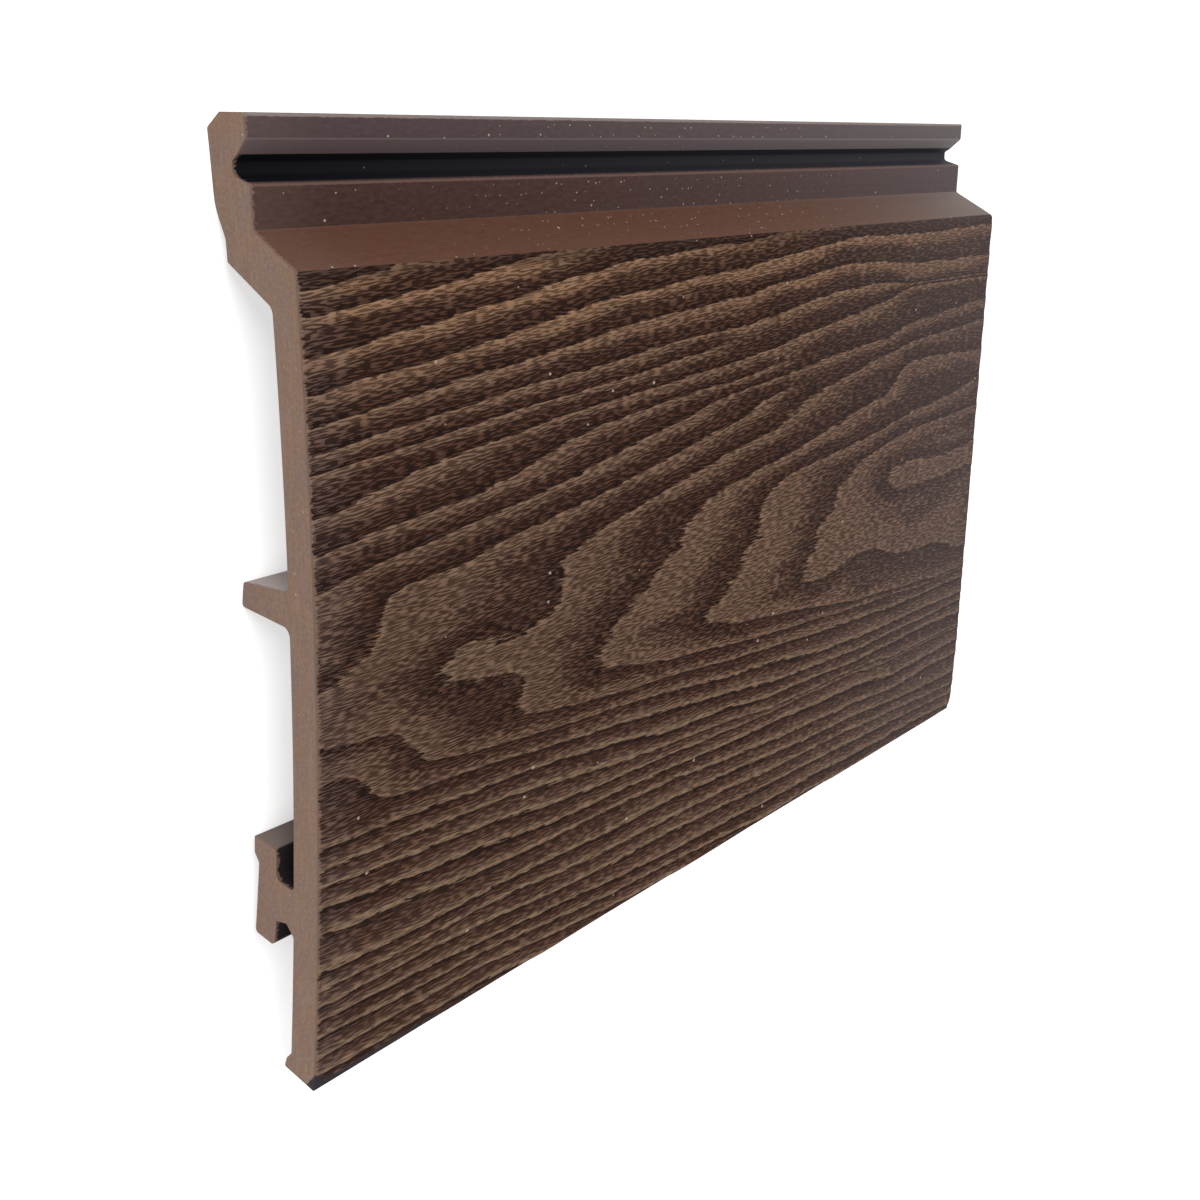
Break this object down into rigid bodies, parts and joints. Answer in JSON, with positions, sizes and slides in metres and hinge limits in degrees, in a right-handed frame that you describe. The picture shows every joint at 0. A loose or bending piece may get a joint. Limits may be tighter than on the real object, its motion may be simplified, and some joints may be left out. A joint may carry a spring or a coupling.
{
  "type": "composite cladding board",
  "caption": "Solid wood-plastic cladding board with an embossed grain face, a grooved tongue along one edge, and a rib, hook and foot on the back",
  "frame": {"origin": "centre of the board's plan outline, on the plane its back rests on", "axes": "+X along the board from the sawn end that the picture shows, +Y across it from the lower edge to the tongue, +Z out of the embossed face"},
  "size_m": [0.198, 0.15, 0.02],
  "materials": {
    "composite": "dark brown wood-plastic, embossed two-tone grain on the face, smooth matt tongue and back"
  },
  "bodies": {
    "root": {"board": "composite"}
  },
  "joints": []
}
